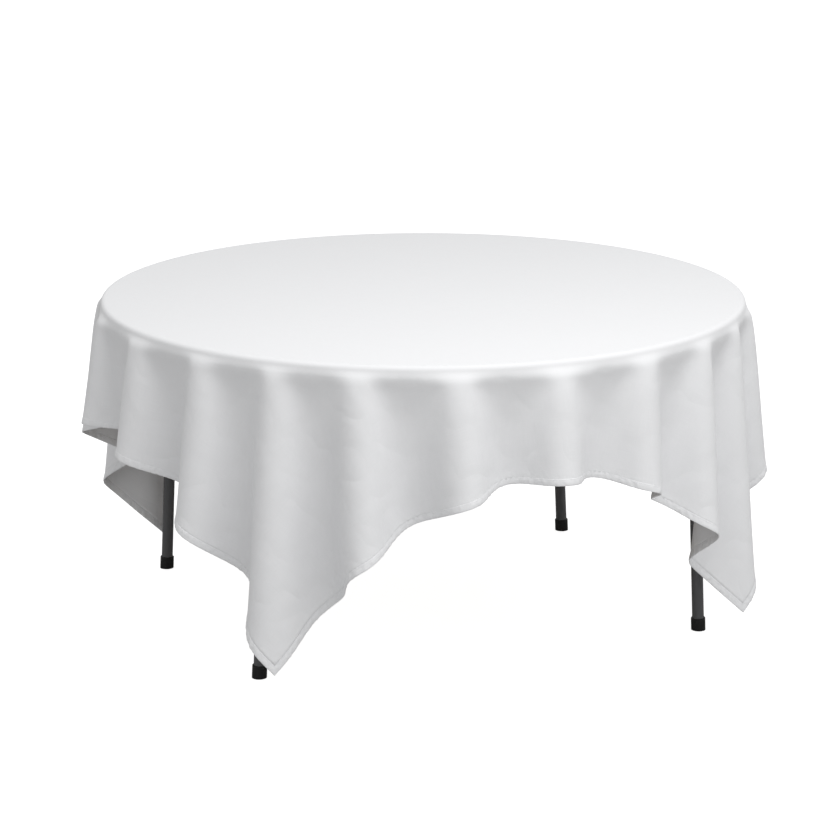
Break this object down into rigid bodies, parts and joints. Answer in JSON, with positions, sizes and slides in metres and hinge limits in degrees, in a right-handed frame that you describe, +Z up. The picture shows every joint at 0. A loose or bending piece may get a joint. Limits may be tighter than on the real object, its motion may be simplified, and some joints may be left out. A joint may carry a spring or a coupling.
{
  "type": "tablecloth on a folding table",
  "caption": "Square woven tablecloth draped over a round banquet table with folding tubular steel leg frames and locking braces.",
  "frame": {"origin": "on the floor, on the vertical axis of the round top", "axes": "+Z up; +Y along the hinge axes of the leg frames; +X across them, from the left frame to the right frame"},
  "size_m": [1.7068, 1.7068, 0.7648],
  "materials": {
    "cloth_fabric": "matte",
    "plywood": "satin",
    "edge_plastic": "satin",
    "nylon": "satin",
    "foot_rubber": "matte",
    "grey_steel": "satin",
    "zinc_steel": "satin"
  },
  "bodies": {
    "table_top": {"plywood_top": "plywood", "edge_moulding": "edge_plastic", "rail_front": "grey_steel", "rail_back": "grey_steel", "rail_end_caps": "edge_plastic", "rail_screws": "zinc_steel", "pivot_bushes": "nylon", "brace_mount_screws": "zinc_steel", "brace_mount_right": "grey_steel", "brace_mount_pin_right": "zinc_steel", "brace_mount_left": "grey_steel", "brace_mount_pin_left": "zinc_steel"},
    "leg_frame_right": {"pivot_tube_right": "grey_steel", "cross_tube_right": "grey_steel", "pivot_pins_right": "zinc_steel", "push_nuts_right": "zinc_steel", "brace_tab_right": "grey_steel", "brace_tab_pin_right": "zinc_steel", "leg_right_front": "grey_steel", "leg_right_back": "grey_steel", "foot_cap_right_front": "foot_rubber", "foot_cap_right_back": "foot_rubber"},
    "brace_upper_right": {"brace_upper_link_right": "grey_steel", "brace_elbow_rivet_right": "zinc_steel"},
    "brace_lower_right": {"brace_lower_link_right": "grey_steel"},
    "leg_frame_left": {"pivot_tube_left": "grey_steel", "cross_tube_left": "grey_steel", "pivot_pins_left": "zinc_steel", "push_nuts_left": "zinc_steel", "brace_tab_left": "grey_steel", "brace_tab_pin_left": "zinc_steel", "leg_left_front": "grey_steel", "leg_left_back": "grey_steel", "foot_cap_left_front": "foot_rubber", "foot_cap_left_back": "foot_rubber"},
    "brace_upper_left": {"brace_upper_link_left": "grey_steel", "brace_elbow_rivet_left": "zinc_steel"},
    "brace_lower_left": {"brace_lower_link_left": "grey_steel"},
    "tablecloth": {"cloth_top": "cloth_fabric", "cloth_drop_back_right": "cloth_fabric", "cloth_drop_back_left": "cloth_fabric", "cloth_drop_front_left": "cloth_fabric", "cloth_drop_front_right": "cloth_fabric", "hem_back_right": "cloth_fabric", "hem_back_left": "cloth_fabric", "hem_front_left": "cloth_fabric", "hem_front_right": "cloth_fabric"}
  },
  "joints": [
    {"name": "right_leg_fold", "type": "hinge", "parent": "table_top", "child": "leg_frame_right", "pos_m": [0.498, 0, 0.726], "axis": [0, 1, 0], "range_deg": [0, 92.92]},
    {"name": "right_upper_brace", "type": "hinge", "parent": "table_top", "child": "brace_upper_right", "pos_m": [0.283, 0, 0.726], "axis": [0, -1, 0], "range_deg": [0, 43.55]},
    {"name": "right_lower_brace", "type": "hinge", "parent": "leg_frame_right", "child": "brace_lower_right", "pos_m": [0.50894, 0, 0.51128], "axis": [0, 1, 0], "range_deg": [0, 43.55]},
    {"name": "left_leg_fold", "type": "hinge", "parent": "table_top", "child": "leg_frame_left", "pos_m": [-0.498, 0, 0.726], "axis": [0, -1, 0], "range_deg": [0, 92.92]},
    {"name": "left_upper_brace", "type": "hinge", "parent": "table_top", "child": "brace_upper_left", "pos_m": [-0.283, 0, 0.726], "axis": [0, 1, 0], "range_deg": [0, 43.55]},
    {"name": "left_lower_brace", "type": "hinge", "parent": "leg_frame_left", "child": "brace_lower_left", "pos_m": [-0.50894, 0, 0.51128], "axis": [0, -1, 0], "range_deg": [0, 43.55]},
    {"name": "cloth_lift", "type": "slide", "parent": "table_top", "child": "tablecloth", "axis": [0, 0, 1], "range_m": [0, 0.75]}
  ],
  "couplings": [
    {"joint": "right_upper_brace", "follows": "right_leg_fold", "ratio": 0.4686},
    {"joint": "right_lower_brace", "follows": "right_leg_fold", "ratio": 0.4686},
    {"joint": "left_upper_brace", "follows": "left_leg_fold", "ratio": 0.4686},
    {"joint": "left_lower_brace", "follows": "left_leg_fold", "ratio": 0.4686}
  ]
}
